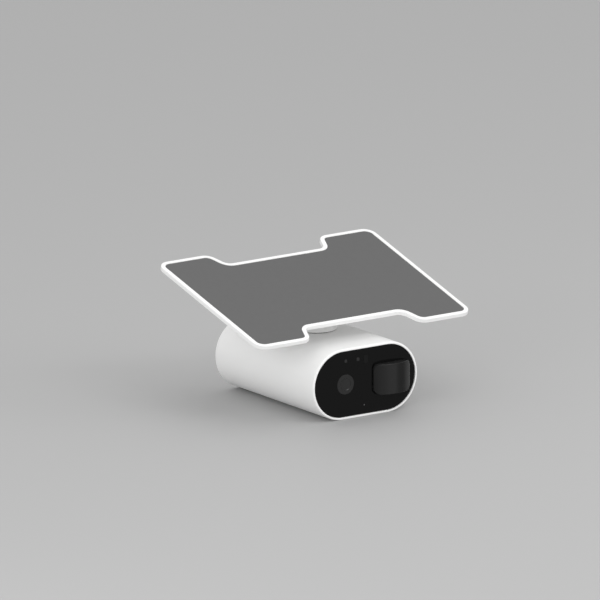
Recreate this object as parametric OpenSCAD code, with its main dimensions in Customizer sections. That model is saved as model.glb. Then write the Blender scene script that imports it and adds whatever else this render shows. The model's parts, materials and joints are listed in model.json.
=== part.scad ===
// Solar-powered security camera: a round-ended white casing that lies on its flat underside,
// with a turntable on top that carries a tilting solar panel.
// The origin is the mouth of the tripod thread under the casing; the lens looks along -Y and +Z is up.

/* [Casing] */
// Radius of the casing's round sides, and half of its height
body_r = 25.5; // [25.5:0.25:27]
// Half of the flat width between the round sides
body_flat = 19.25; // [19.25:0.25:22]
// Length of the casing from the front rim to the back
body_len = 120; // [120:1:126]
// Wall thickness of the casing
wall = 2.4; // [2.2:0.1:2.6]
// Radius of the casing's front and back edges
edge_round = 1; // [0.6:0.1:1.4]
// Thickness of the back cover's plate
cover_t = 3.5; // [3.3:0.1:3.7]

/* [Front plate] */
// Thickness of the black front plate
plate_t = 2; // [1.8:0.1:2.2]
// How far the plate sits behind the rim
plate_recess = 0.5; // [0.2:0.1:0.8]
// Gap between the plate and the rim
plate_gap = 0.3; // [0.2:0.05:0.4]
// Width of the rim round the plate
rim_w = 1.7; // [1.6:0.1:2]
// Sideways place of the lens, from the middle
lens_x = -16.4; // [-17:0.1:-16]
// Height of the lens from the plate's middle
lens_dz = -0.3; // [-1:0.1:1]
// Diameter of the round lens window
window_d = 14.5; // [13.5:0.1:15]

/* [Motion sensor] */
// Sideways place of the bulged lens
pir_x = 22.2; // [21.6:0.1:22.2]
// Width of the bulged lens
pir_w = 30.7; // [29:0.1:30.7]
// Height of the bulged lens
pir_h = 21.8; // [20:0.1:22]
// Corner radius of the bulged lens
pir_corner = 4.4; // [3.8:0.1:5]
// How far the bulged lens stands out at its left and right edges
pir_side = 1.6; // [1.4:0.1:3]
// How far the bulged lens stands out in the middle
pir_middle = 6.9; // [6:0.1:7.5]
// Wall thickness of the bulged lens
pir_wall = 1; // [0.8:0.1:1.2]

/* [Turntable] */
// Radius of the turntable disc
turret_r = 14.5; // [14.5:0.1:16]
// Height of the tilt axis above the surface that the camera rests on
tilt_axis_z = 65.5; // [65.5:0.1:70]
// Radius of the hollow spindle that turns in the casing
spindle_r = 6; // [5.5:0.1:6.5]
// Radial clearance between a turning part and its bore
running_gap = 0.05; // [0.03:0.01:0.08]

/* [Solar panel] */
// Forward tilt of the panel at rest, in degrees
panel_tilt = 15.6; // [0:0.1:20]
// Height of the panel's face above the tilt axis
panel_rise = 14.1; // [14.1:0.1:16]
// How far the panel's middle lies behind the tilt axis
panel_setback = 5.6; // [4:0.1:7]
// Half of the panel's width
panel_half_w = 91.4; // [88:0.1:95]
// Half of the panel's depth across its two wide ends
panel_half_d = 65.4; // [64:0.1:67]
// Half of the panel's depth across its waist
waist_half_d = 49.1; // [48:0.1:50]
// Half of the length of the straight edge at the waist
waist_half_w = 36.9; // [34:0.1:38]
// Thickness of the panel's tray at its edge
tray_t = 3.1; // [2.9:0.1:3.5]
// Width of the white border round the panel's face
border_w = 3.1; // [2.8:0.1:4]
// Radius of the panel's outer corners
corner_r = 8.5; // [7:0.1:10]
// Radius of the corners beside the waist
tab_r = 8.1; // [7:0.1:9]
// Radius of the hollows where the waist begins
hollow_r = 6.6; // [5:0.1:8]
// Slope of the edge between waist and end, in degrees
shoulder_angle = 70; // [60:1:80]

/* [Hidden] */
$fn = 72;
slop = 0.5;
axis_z = body_r;
front_y = -body_len / 2;
back_y = body_len / 2;
cavity_r = body_r - wall;
pocket_r = body_r - rim_w;
plate_r = pocket_r - plate_gap;
plate_front = front_y + plate_recess;
plate_back = plate_front + plate_t;
gasket_t = 0.8;
ledge_front = plate_back + gasket_t;
ledge_back = ledge_front + 2;
ledge_r = 21.2;
cover_y = back_y - cover_t;
arc_steps = 5;
top_z = 2 * body_r;

// lens train, measured from the plate
lens_z = axis_z + lens_dz;
barrel_r = 6;
barrel_front = plate_back + 0.3;
barrel_back = -44;
element_r = 4.4;
filter_pitch = 8;
filter_r = 3.4;
filter_y = [-42.5, -41.1];
holder_y = [-47.6, -37.6];
holder_half = [14, 9];
slot_half = [13, 5.3];
board_t = 1.6;
front_board_y = -50;
front_board_r = 20;
sensor_board_y = holder_y[1];

// small places on the front plate, as [x, z from the plate's middle]
status_at = [-16.1, 16.5];
light_at = [-5.7, 16.4];
ir_at = [1, 15.8];
ir_size = [4.2, 6.2];
mic_at = [-0.4, -17.2];
status_r = 1.4;
light_r = 1.5;
mic_r = 0.6;
front_posts = [[-33, 11], [-33, -11], [27, 15.6], [27, -15.6]];

// battery tray and main board
cell_r = 9.1;
cell_len = 65;
cell_x = 9.5;
cell_front = -28.2;
tray_floor_z = 10.2;
tray_floor_t = 1.2;
cell_z = tray_floor_z + tray_floor_t + 0.1 + cell_r;
main_board_z = 31;
main_board_top = main_board_z + board_t;
board_x = 30;
board_y = [-34, 42];
board_posts = [[-26, -30], [26, -30], [-26, 38], [26, 38]];
tray_legs = [[-15, -27], [15, -27], [-15, 35], [15, 35]];
socket_h = 3.6;

// tripod thread
insert_r = 5;
insert_h = 9;
thread_r = 2.6;
thread_h = 8;
thread_boss_r = 7.5;

// swivel
swivel_bore_r = spindle_r + running_gap;
swivel_boss_r = 9.5;
swivel_boss_z = 45;
seal_r = [11.5, 13.6];
seal_h = 0.35;
turret_z = top_z + seal_h + 0.1;
turret_top = 57.5;
spindle_bottom = 41;
lead_bore_r = 3;
nut_h = 3;
nut_r = 8.5;

// tilt joint
ear_x = [8.2, 12.2];
ear_r = 6.2;
tab_x = [4.4, 7.4];
tilt_tab_r = 5.6;
pin_r = 2.5;
pin_head_r = 4;
pin_head_t = 1.2;
washer_x = [7.5, 8.2];
washer_r = 5.4;
bracket_t = 2;
pad_t = 2.2;
tray_floor = 1.1;
pad_half = [30, 22];
bracket_half = [23, 16];
bracket_holes = [[-19, -12], [19, -12], [-19, 12], [19, 12]];
tray_under = panel_rise - tray_t;
pad_under = tray_under - pad_t;
bracket_under = pad_under - bracket_t;
lead_r = 1.1;
lead_gap = 0.3;

// panel face
board_layer = 0.8;
cell_layer = 0.25;
cover_layer = 0.6;
face_recess = 0.3;
cell_strip = [16.4, 1];
cell_count = 10;
tab_cell_half = 57.5;
waist_cell_half = 43;

// back cover
plug_r = [20.6, 22.9];
plug_front = 51.5;
screw_ring = 20.3;
screw_angle = 54;
screw_x = body_flat + screw_ring * cos(screw_angle);
screw_dz = screw_ring * sin(screw_angle);
screw_posts = [[-screw_x, screw_dz], [screw_x, screw_dz], [-screw_x, -screw_dz], [screw_x, -screw_dz]];
post_r = 3.2;
post_y = [43, 51];
recess_x = [9, 35];
recess_z = [18.8, 32.2];
recess_floor = back_y - 2.4;
flap_axis = [58.9, 20.2];
flap_half_t = 0.95;
// width, height and depth of the flap's thumb groove
thumb_groove = [8, 1, 0.5];
flap_pin_r = 0.5;
usb_x = 16.5;
usb_size = [9, 3.3];
card_x = 28;
card_size = [12, 2.6];
button_x = -26;
button_r = 4.3;
button_hole_r = 4.6;
button_flange_r = 5.2;
speaker_x = -6;
speaker_r = 10;
rear_board_y = [48, 49.6];

// ---- outlines -------------------------------------------------------------------------------

// Round-ended outline of radius r about the casing's axis, drawn in x and z
module stadium(r) {
    translate([-body_flat, axis_z]) circle(r);
    translate([body_flat, axis_z]) circle(r);
    translate([-body_flat, axis_z - r]) square([2 * body_flat, 2 * r]);
}

// Rectangle of the given width and height with round corners, centred
module round_rect(w, h, r) {
    for (sx = [-1, 1], sy = [-1, 1])
        translate([sx * (w / 2 - r), sy * (h / 2 - r)]) circle(r);
    square([w - 2 * r, h], center = true);
    square([w, h - 2 * r], center = true);
}

// Extrudes an outline drawn in x and z from y0 to y1
module along_y(y0, y1) {
    translate([0, y1, 0]) rotate([90, 0, 0]) linear_extrude(y1 - y0) children();
}

// Moves an outline to a place given from the middle of the front plate
module face_at(p) {
    translate([p[0], axis_z + p[1]]) children();
}

// Solid of radius r about a line parallel to X, from x0 to x1
module rod_x(x0, x1, r) {
    translate([x0, 0, 0]) rotate([0, 90, 0]) cylinder(r = r, h = x1 - x0);
}

// Round-ended solid whose radius follows the points [r, y], which start and end on the axis
module stadium_turn(points) {
    mirrored = [for (i = [len(points) - 1:-1:0]) [points[i][1], -points[i][0]]];
    for (side = [-1, 1])
        translate([side * body_flat, 0, axis_z]) rotate([-90, 0, 0]) rotate_extrude() polygon(points);
    translate([-body_flat, 0, axis_z]) rotate([90, 0, 90]) linear_extrude(2 * body_flat)
        polygon(concat([for (p = points) [p[1], p[0]]], mirrored));
}

// Quarter round from the angle a0 to a1 about [cx, cy]
function arc(cx, cy, r, a0, a1) =
    [for (i = [0:arc_steps]) let (a = a0 + (a1 - a0) * i / arc_steps) [cx + r * cos(a), cy + r * sin(a)]];

// Quarter of the panel's outline, moved inwards by d: waist, hollow, shoulder, end corner
function shoulder_x() =
    waist_half_w + (tab_r + hollow_r) * sin(shoulder_angle)
    + (panel_half_d - waist_half_d - (tab_r + hollow_r) * (1 - cos(shoulder_angle))) / tan(shoulder_angle);
function panel_quarter(d) = concat(
    arc(waist_half_w, waist_half_d + hollow_r, hollow_r + d, -90, shoulder_angle - 90),
    arc(shoulder_x(), panel_half_d - tab_r, tab_r - d, 90 + shoulder_angle, 90),
    arc(panel_half_w - corner_r, panel_half_d - corner_r, corner_r - d, 90, 0));
function flipped(points, sx, sy) = [for (p = points) [sx * p[0], sy * p[1]]];
function backwards(points) = [for (i = [len(points) - 1:-1:0]) points[i]];

// The panel's outline, moved inwards by d
module panel_outline(d) {
    quarter = panel_quarter(d);
    polygon(concat(
        quarter,
        backwards(flipped(quarter, 1, -1)),
        flipped(quarter, -1, -1),
        backwards(flipped(quarter, -1, 1))));
}

// Puts a shape drawn about the tilt axis at the panel's resting tilt
module on_tilt() {
    translate([0, 0, tilt_axis_z]) rotate([panel_tilt, 0, 0]) children();
}

// Layer of the panel's outline, from z0 to z1 above the tilt axis
module panel_layer(d, z0, z1) {
    translate([0, panel_setback, z0]) linear_extrude(z1 - z0) panel_outline(d);
}

// A screw along +Y with its head at the back
module screw_y(x, z, tip_y, head_y, head_end, shank_r, head_r) {
    along_y(tip_y, head_y) translate([x, z]) circle(shank_r);
    along_y(head_y, head_end) translate([x, z]) circle(head_r);
}

// ---- casing ---------------------------------------------------------------------------------

module main_housing() {
    front_round = arc(body_r - edge_round, front_y + edge_round, edge_round, -90, 0);
    color("whitesmoke") difference() {
        union() {
            difference() {
                stadium_turn(concat([[0, front_y]], front_round, [[body_r, cover_y], [0, cover_y]]));
                along_y(front_y - slop, ledge_front) stadium(pocket_r);
                along_y(front_y, ledge_back + slop) stadium(ledge_r);
                along_y(ledge_back, cover_y + slop) stadium(cavity_r);
            }
            translate([0, 0, swivel_boss_z]) cylinder(r = swivel_boss_r, h = top_z - swivel_boss_z - 1);
            translate([0, 0, 1]) cylinder(r = thread_boss_r, h = insert_h - 1);
            for (p = screw_posts)
                along_y(post_y[0], post_y[1]) face_at(p) circle(post_r);
        }
        translate([0, 0, swivel_boss_z - slop]) cylinder(r = swivel_bore_r, h = 8);
        translate([0, 0, -slop]) cylinder(r = insert_r, h = insert_h + 2 * slop);
        for (p = screw_posts)
            along_y(post_y[0] + 1, post_y[1] + slop) face_at(p) circle(1.25);
    }
}

module tripod_insert() {
    color("goldenrod") difference() {
        cylinder(r = insert_r, h = insert_h);
        translate([0, 0, -slop]) cylinder(r = thread_r, h = thread_h + slop);
    }
}

module turret_seal() {
    color("dimgray") translate([0, 0, top_z]) difference() {
        cylinder(r = seal_r[1], h = seal_h);
        translate([0, 0, -slop]) cylinder(r = seal_r[0], h = 2);
    }
}

// ---- front ----------------------------------------------------------------------------------

module front_plate() {
    post_end = front_board_y;
    color("black") difference() {
        union() {
            along_y(plate_front, plate_back) stadium(plate_r);
            for (p = front_posts)
                along_y(plate_back - slop, post_end) face_at(p) circle(2.4);
        }
        along_y(plate_front - slop, plate_back + slop) {
            translate([lens_x, lens_z]) circle(d = window_d);
            face_at(status_at) circle(status_r);
            face_at(light_at) circle(light_r);
            face_at(ir_at) square(ir_size, center = true);
            face_at(mic_at) circle(mic_r);
            translate([pir_x, axis_z]) round_rect(pir_w + 0.5, pir_h + 0.5, pir_corner + 0.25);
        }
        for (p = front_posts)
            along_y(post_end - 5, post_end + slop) face_at(p) circle(1);
    }
}

module front_gasket() {
    color("dimgray") along_y(plate_back, ledge_front) difference() {
        stadium(plate_r - 0.1);
        stadium(ledge_r + 0.2);
    }
}

module lens_window() {
    color("darkslategray") along_y(plate_front, plate_back - 0.4)
        translate([lens_x, lens_z]) circle(d = window_d - 0.1);
}

module status_window() {
    color("gray") along_y(plate_front, front_board_y - 1.1) face_at(status_at) circle(status_r - 0.05);
}

module light_sensor_window() {
    color("gray") along_y(plate_front, front_board_y - 1.1) face_at(light_at) circle(light_r - 0.05);
}

module ir_window() {
    color("dimgray") along_y(plate_front, plate_back) face_at(ir_at)
        square([ir_size[0] - 0.1, ir_size[1] - 0.1], center = true);
}

// The bulge is a cylinder about an upright line, cut to a round-cornered oblong
module pir_bulge(inset, y_end) {
    chord = pir_w / 2;
    sag = pir_middle - pir_side;
    bulge_r = (chord * chord + sag * sag) / (2 * sag);
    intersection() {
        along_y(plate_front - pir_middle - 1, y_end) translate([pir_x, axis_z])
            round_rect(pir_w - 2 * inset, pir_h - 2 * inset, pir_corner - inset);
        translate([pir_x, plate_front - pir_middle + bulge_r, 0]) cylinder(r = bulge_r - inset, h = top_z);
    }
}

module pir_lens() {
    flange_t = 1.2;
    color("dimgray") difference() {
        union() {
            pir_bulge(0, plate_back);
            along_y(plate_back, plate_back + flange_t) translate([pir_x, axis_z])
                round_rect(pir_w + 2.6, pir_h + 2.6, pir_corner + 1.3);
        }
        pir_bulge(pir_wall, plate_back + flange_t + slop);
    }
}

module front_board() {
    color("darkgreen") along_y(front_board_y, front_board_y + board_t) difference() {
        stadium(front_board_r);
        translate([lens_x, lens_z]) circle(barrel_r + 1);
        for (p = front_posts)
            face_at(p) circle(1.1);
    }
}

module front_board_screws() {
    board_back = front_board_y + board_t;
    color("silver") for (p = front_posts)
        screw_y(p[0], axis_z + p[1], front_board_y - 4, board_back, board_back + 1.2, 0.95, 1.9);
}

module pir_sensor() {
    color("silver") translate([pir_x, 0, 0]) difference() {
        union() {
            along_y(front_board_y - 4.4, front_board_y) translate([0, axis_z]) circle(4.1);
            along_y(front_board_y - 0.6, front_board_y) translate([0, axis_z]) circle(4.6);
        }
        along_y(front_board_y - 5, front_board_y - 4.1) translate([0, axis_z])
            square([4, 3], center = true);
    }
}

module status_led() {
    color("white") along_y(front_board_y - 1, front_board_y) face_at(status_at)
        square([1.6, 1.6], center = true);
}

module light_sensor() {
    color("lightgray") along_y(front_board_y - 1, front_board_y) face_at(light_at)
        square([2, 2], center = true);
}

module ir_led() {
    color("lightyellow") union() {
        along_y(front_board_y - 2, front_board_y) face_at(ir_at) square([3.5, 3.5], center = true);
        along_y(front_board_y - 2.6, front_board_y - 2) face_at(ir_at) circle(1.3);
    }
}

module microphone() {
    color("silver") along_y(front_board_y - 1.1, front_board_y) face_at(mic_at)
        square([3.8, 3], center = true);
}

module mic_boot() {
    color("dimgray") along_y(plate_back, front_board_y - 1.1) face_at(mic_at) difference() {
        circle(2.4);
        circle(mic_r);
    }
}

// ---- lens train -----------------------------------------------------------------------------

module lens_barrel() {
    color("black") difference() {
        along_y(barrel_front, barrel_back) translate([lens_x, lens_z]) circle(barrel_r);
        along_y(barrel_front - slop, barrel_back + slop) translate([lens_x, lens_z]) circle(element_r);
    }
}

module front_element() {
    ball_r = 9;
    front = barrel_front + 0.6;
    color("lightsteelblue") intersection() {
        along_y(front, front + 3) translate([lens_x, lens_z]) circle(element_r);
        translate([lens_x, front + ball_r, lens_z]) sphere(ball_r);
    }
}

module rear_element() {
    color("lightsteelblue") along_y(-48, -45.5) translate([lens_x, lens_z]) circle(element_r);
}

module lens_holder() {
    color("dimgray") difference() {
        along_y(holder_y[0], holder_y[1]) translate([lens_x, lens_z])
            square(2 * holder_half, center = true);
        along_y(holder_y[0] - slop, barrel_back + 0.4) translate([lens_x, lens_z]) circle(barrel_r);
        along_y(holder_y[0], holder_y[1] - 1) translate([lens_x, lens_z]) circle(3.6);
        along_y(filter_y[0] - 0.3, filter_y[1] + 0.3) translate([lens_x, lens_z])
            square(2 * slot_half, center = true);
        along_y(holder_y[1] - 1.4, holder_y[1] + slop) translate([lens_x, lens_z])
            square([8.6, 7], center = true);
    }
}

module filter_slider() {
    color("black") along_y(filter_y[0], filter_y[1]) translate([lens_x, lens_z]) difference() {
        translate([-4.6, -4.9]) square([17.4, 9.8]);
        circle(filter_r);
        translate([filter_pitch, 0]) circle(filter_r);
    }
}

// Glass disc in the sliding frame, at an offset from the lens axis
module filter_disc(offset_x) {
    along_y(filter_y[0] + 0.3, filter_y[1] - 0.3) translate([lens_x + offset_x, lens_z])
        circle(filter_r);
}

module ir_cut_glass() {
    color("paleturquoise") filter_disc(0);
}

module clear_glass() {
    color("white") filter_disc(filter_pitch);
}

module filter_motor() {
    color("peru") along_y(-46, -39) translate([lens_x - 6, lens_z + holder_half[1]]) square([12, 6]);
}

module image_sensor() {
    color("slategray") along_y(sensor_board_y - 1, sensor_board_y) translate([lens_x, lens_z])
        square([8, 6.5], center = true);
}

module sensor_board() {
    color("darkgreen") along_y(sensor_board_y, sensor_board_y + 1.2) translate([lens_x, lens_z])
        square([30, 20], center = true);
}

// ---- board and cells ------------------------------------------------------------------------

module main_board() {
    color("darkgreen") difference() {
        translate([-board_x, board_y[0], main_board_z])
            cube([2 * board_x, board_y[1] - board_y[0], board_t]);
        for (p = board_posts)
            translate([p[0], p[1], main_board_z - slop]) cylinder(r = 1.2, h = 3);
    }
}

module board_shield() {
    size = [26, 26, 3];
    skin = 0.4;
    color("silver") translate([-28, 4, main_board_top]) difference() {
        cube(size);
        translate([skin, skin, -skin]) cube([size[0] - 2 * skin, size[1] - 2 * skin, size[2]]);
    }
}

module wifi_antenna() {
    color("goldenrod") translate([6, -32, main_board_top]) linear_extrude(0.6) union() {
        square([16, 1.2]);
        square([1.2, 6]);
        translate([4, 0]) square([1.2, 6]);
    }
}

module board_screws() {
    color("silver") for (p = board_posts) translate([p[0], p[1], 0]) {
        translate([0, 0, main_board_top - 5]) cylinder(r = 0.95, h = 5);
        translate([0, 0, main_board_top]) cylinder(r = 2, h = 1.2);
    }
}

module battery_tray() {
    floor_x = 29;
    wall_x = 19;
    floor_top = tray_floor_z + tray_floor_t;
    color("dimgray") difference() {
        union() {
            translate([-floor_x, board_y[0] + 1, tray_floor_z])
                cube([2 * floor_x, board_y[1] - board_y[0] - 2, tray_floor_t]);
            for (y = [-31.5, 39.3])
                translate([-wall_x, y, tray_floor_z]) cube([2 * wall_x, 1.6, 15]);
            for (p = board_posts)
                translate([p[0], p[1], tray_floor_z]) cylinder(r = 3, h = main_board_z - tray_floor_z);
            for (p = tray_legs)
                translate([p[0], p[1], wall]) cylinder(r = 3, h = floor_top - wall);
        }
        for (p = board_posts)
            translate([p[0], p[1], main_board_z - 5]) cylinder(r = 1, h = 6);
    }
}

module battery_cells() {
    color("mediumseagreen") for (side = [-1, 1]) {
        along_y(cell_front, cell_front + cell_len) translate([side * cell_x, cell_z]) circle(cell_r);
        along_y(cell_front + cell_len, cell_front + cell_len + 1.2)
            translate([side * cell_x, cell_z]) circle(2.8);
    }
}

module battery_contacts() {
    color("silver") for (side = [-1, 1]) {
        along_y(-29.9, -29.4) translate([side * cell_x, cell_z]) square([12, 10], center = true);
        along_y(-29.4, cell_front) translate([side * cell_x, cell_z]) circle(3);
        along_y(38, 38.5) translate([side * cell_x, cell_z]) square([12, 10], center = true);
    }
}

module lead_socket() {
    color("ivory") translate([-4, -3, main_board_top]) cube([8, 6, socket_h]);
}

// ---- back -----------------------------------------------------------------------------------

module rear_cover() {
    back_round = arc(body_r - edge_round, back_y - edge_round, edge_round, 0, 90);
    color("whitesmoke") difference() {
        union() {
            stadium_turn(concat([[0, cover_y], [body_r, cover_y]], back_round, [[0, back_y]]));
            along_y(plug_front, cover_y + slop) difference() {
                stadium(plug_r[1]);
                stadium(plug_r[0]);
            }
            for (p = screw_posts)
                along_y(plug_front, cover_y + slop) intersection() {
                    stadium(plug_r[1]);
                    face_at(p) circle(post_r);
                }
        }
        along_y(53, 54.4) difference() {
            stadium(plug_r[1] + slop);
            stadium(plug_r[1] - 0.8);
        }
        for (p = screw_posts) {
            along_y(plug_front - slop, back_y + slop) face_at(p) circle(1.3);
            along_y(cover_y + 1.2, back_y + slop) face_at(p) circle(2.6);
        }
        along_y(recess_floor, back_y + slop) translate([recess_x[0], recess_z[0]])
            square([recess_x[1] - recess_x[0], recess_z[1] - recess_z[0]]);
        along_y(cover_y - slop, back_y) {
            translate([usb_x, axis_z]) round_rect(usb_size[0] + 0.4, usb_size[1] + 0.4, 1.8);
            translate([card_x, axis_z]) square([card_size[0] + 0.4, card_size[1] + 0.4], center = true);
        }
        along_y(cover_y - slop, back_y + slop) {
            translate([button_x, axis_z]) circle(button_hole_r);
            for (i = [-2:2])
                translate([speaker_x + i * 2.8 - 0.6, axis_z - 6 + abs(i)]) square([1.2, 12 - 2 * abs(i)]);
        }
        translate([0, flap_axis[0], flap_axis[1]]) rod_x(recess_x[0] - 1, recess_x[1] + 1, flap_pin_r);
    }
}

module rear_gasket() {
    color("dimgray") along_y(53, 54.4) difference() {
        stadium(cavity_r);
        stadium(plug_r[1] - 0.8);
    }
}

module rear_screws() {
    head_y = cover_y + 1.2;
    color("silver") for (p = screw_posts) difference() {
        screw_y(p[0], axis_z + p[1], post_y[0] + 2, head_y, head_y + 1.5, 1.2, 2.4);
        along_y(head_y + 0.8, head_y + 2) face_at(p) {
            square([2.6, 0.6], center = true);
            square([0.6, 2.6], center = true);
        }
    }
}

module rear_board() {
    color("darkgreen") along_y(rear_board_y[0], rear_board_y[1]) translate([-32, 15]) square([66, 21]);
}

module speaker() {
    color("black") translate([speaker_x, cover_y, axis_z]) rotate([90, 0, 0]) rotate_extrude() polygon([
        [0, 2.2], [6, 0.8], [8, 1.6], [9, 0], [speaker_r, 0], [speaker_r, 2], [7.5, 4.8], [0, 4.8]]);
}

module usb_port() {
    color("silver") translate([usb_x, 0, 0]) {
        difference() {
            along_y(rear_board_y[1], recess_floor) translate([0, axis_z])
                round_rect(usb_size[0], usb_size[1], 1.6);
            along_y(rear_board_y[1] + 1.2, recess_floor + slop) translate([0, axis_z])
                round_rect(usb_size[0] - 0.6, usb_size[1] - 0.6, 1.3);
        }
        along_y(rear_board_y[1] + 1, recess_floor - 1) translate([0, axis_z])
            square([6.6, 0.7], center = true);
    }
}

module card_slot() {
    color("silver") difference() {
        along_y(rear_board_y[1], recess_floor) translate([card_x, axis_z]) square(card_size, center = true);
        along_y(rear_board_y[1] + 1, recess_floor + slop) translate([card_x, axis_z])
            square([card_size[0] - 0.8, 0.9], center = true);
    }
}

module button_switch() {
    color("dimgray") union() {
        along_y(rear_board_y[1], 53.2) translate([button_x, axis_z]) square([6, 6], center = true);
        along_y(53, 54.1) translate([button_x, axis_z]) circle(1.6);
    }
}

module sync_button() {
    cap_y = back_y + 0.4;
    color("gainsboro") union() {
        along_y(55, cap_y) translate([button_x, axis_z]) circle(button_r);
        along_y(55, 56.2) translate([button_x, axis_z]) circle(button_flange_r);
    }
}

module port_flap() {
    gap = 0.4;
    x0 = recess_x[0] + gap;
    x1 = recess_x[1] - gap;
    top = recess_z[1] - gap;
    outside = flap_axis[0] + flap_half_t;
    color("gainsboro") difference() {
        union() {
            translate([0, flap_axis[0], flap_axis[1]]) rod_x(x0, x1, flap_half_t);
            translate([x0, flap_axis[0] - flap_half_t, flap_axis[1]])
                cube([x1 - x0, 2 * flap_half_t, top - flap_axis[1]]);
        }
        translate([0, flap_axis[0], flap_axis[1]]) rod_x(x0 - slop, x1 + slop, flap_pin_r + running_gap);
        along_y(outside - thumb_groove[2], outside + slop)
            translate([(x0 + x1) / 2, top - 2])
                square([thumb_groove[0], thumb_groove[1]], center = true);
    }
}

module flap_pin() {
    color("silver") translate([0, flap_axis[0], flap_axis[1]])
        rod_x(recess_x[0] - 0.9, recess_x[1] + 0.9, flap_pin_r);
}

// ---- turntable ------------------------------------------------------------------------------

module turret() {
    color("whitesmoke") difference() {
        union() {
            translate([0, 0, turret_z]) cylinder(r = turret_r, h = turret_top - turret_z);
            translate([0, 0, spindle_bottom]) cylinder(r = spindle_r, h = turret_z - spindle_bottom + 1);
            for (side = [-1, 1]) translate([side > 0 ? 0 : -ear_x[0] - ear_x[1], 0, 0]) {
                translate([0, 0, tilt_axis_z]) rod_x(ear_x[0], ear_x[1], ear_r);
                translate([ear_x[0], -ear_r, turret_top - 1])
                    cube([ear_x[1] - ear_x[0], 2 * ear_r, tilt_axis_z - turret_top + 1]);
            }
        }
        translate([0, 0, spindle_bottom - slop]) cylinder(r = lead_bore_r, h = 20);
        translate([0, 0, tilt_axis_z]) {
            rod_x(-ear_x[1] - slop, ear_x[1] + slop, pin_r);
            for (side = [-1, 1]) translate([side * ear_x[1], 0, 0])
                rod_x(-pin_head_t, pin_head_t, pin_head_r + 0.2);
        }
    }
}

module turret_nut() {
    top = swivel_boss_z - 0.8;
    color("silver") translate([0, 0, top - nut_h]) difference() {
        cylinder(r = nut_r, h = nut_h);
        translate([0, 0, -slop]) cylinder(r = spindle_r, h = nut_h + 2 * slop);
        for (side = [-1, 1])
            translate([side * nut_r, 0, -slop]) cylinder(r = 1.2, h = nut_h + 2 * slop);
    }
}

module wave_washer() {
    color("silver") translate([0, 0, swivel_boss_z - 0.8]) difference() {
        cylinder(r = nut_r - 0.3, h = 0.7);
        translate([0, 0, -slop]) cylinder(r = spindle_r + 0.1, h = 2);
    }
}

module pivot_pins() {
    color("silver") translate([0, 0, tilt_axis_z]) for (side = [-1, 1]) mirror([side > 0 ? 0 : 1, 0, 0]) {
        difference() {
            union() {
                rod_x(tab_x[0] - 0.2, ear_x[1] - pin_head_t, pin_r);
                rod_x(ear_x[1] - pin_head_t, ear_x[1], pin_head_r);
            }
            translate([ear_x[1] - 0.7, -2.6, -0.4]) cube([1, 5.2, 0.8]);
        }
    }
}

module pivot_washers() {
    color("dimgray") translate([0, 0, tilt_axis_z]) for (side = [-1, 1])
        mirror([side > 0 ? 0 : 1, 0, 0]) difference() {
            rod_x(washer_x[0], washer_x[1], washer_r);
            rod_x(washer_x[0] - slop, washer_x[1] + slop, pin_r);
        }
}

module post_lead() {
    socket_top = main_board_top + socket_h;
    bottom = socket_top + lead_gap;
    color("black") translate([0, 0, bottom]) cylinder(r = lead_r, h = tilt_axis_z - lead_gap - bottom);
}

// ---- panel ----------------------------------------------------------------------------------

module panel_bracket() {
    color("whitesmoke") on_tilt() difference() {
        union() {
            translate([-bracket_half[0], -bracket_half[1], bracket_under])
                cube([2 * bracket_half[0], 2 * bracket_half[1], bracket_t]);
            for (side = [-1, 1]) mirror([side > 0 ? 0 : 1, 0, 0]) {
                rod_x(tab_x[0], tab_x[1], tilt_tab_r);
                translate([tab_x[0], -tilt_tab_r, 0])
                    cube([tab_x[1] - tab_x[0], 2 * tilt_tab_r, bracket_under + slop]);
            }
        }
        rod_x(-tab_x[1] - slop, tab_x[1] + slop, pin_r + running_gap);
        translate([0, 0, bracket_under - slop]) cylinder(r = 2, h = 4);
        for (p = bracket_holes) translate([p[0], p[1], bracket_under - slop]) {
            cylinder(r = 1.4, h = 4);
            cylinder(r = 2.6, h = slop + 1);
        }
    }
}

module bracket_screws() {
    color("silver") on_tilt() for (p = bracket_holes) translate([p[0], p[1], bracket_under]) {
        cylinder(r = 2.4, h = 1);
        cylinder(r = 1.25, h = 4.9);
    }
}

module panel_frame() {
    color("whitesmoke") on_tilt() difference() {
        union() {
            difference() {
                panel_layer(0, tray_under, panel_rise);
                panel_layer(border_w, tray_under + tray_floor, panel_rise + slop);
            }
            translate([-pad_half[0], -pad_half[1], pad_under]) cube([2 * pad_half[0], 2 * pad_half[1], pad_t + 0.2]);
        }
        translate([0, 0, pad_under - slop]) cylinder(r = 1.6, h = 8);
        for (p = bracket_holes)
            translate([p[0], p[1], pad_under - slop]) cylinder(r = 1.25, h = 3.4);
    }
}

module panel_board() {
    bottom = tray_under + tray_floor;
    color("midnightblue") on_tilt() panel_layer(border_w + 0.2, bottom, bottom + board_layer);
}

module solar_cells() {
    pitch = cell_strip[0] + cell_strip[1];
    bottom = tray_under + tray_floor + board_layer;
    color("darkslategray") on_tilt() for (i = [0:cell_count - 1]) {
        x = (i - (cell_count - 1) / 2) * pitch;
        half = abs(x) + cell_strip[0] / 2 < waist_half_w + cell_strip[0] ? waist_cell_half : tab_cell_half;
        translate([x - cell_strip[0] / 2, panel_setback - half, bottom])
            cube([cell_strip[0], 2 * half, cell_layer]);
    }
}

module panel_cover() {
    top = panel_rise - face_recess;
    color("gray") on_tilt() panel_layer(border_w + 0.1, top - cover_layer, top);
}

module panel_lead() {
    top = tray_under + tray_floor;
    color("black") on_tilt() translate([0, 0, lead_gap]) cylinder(r = lead_r, h = top - lead_gap);
}

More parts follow.
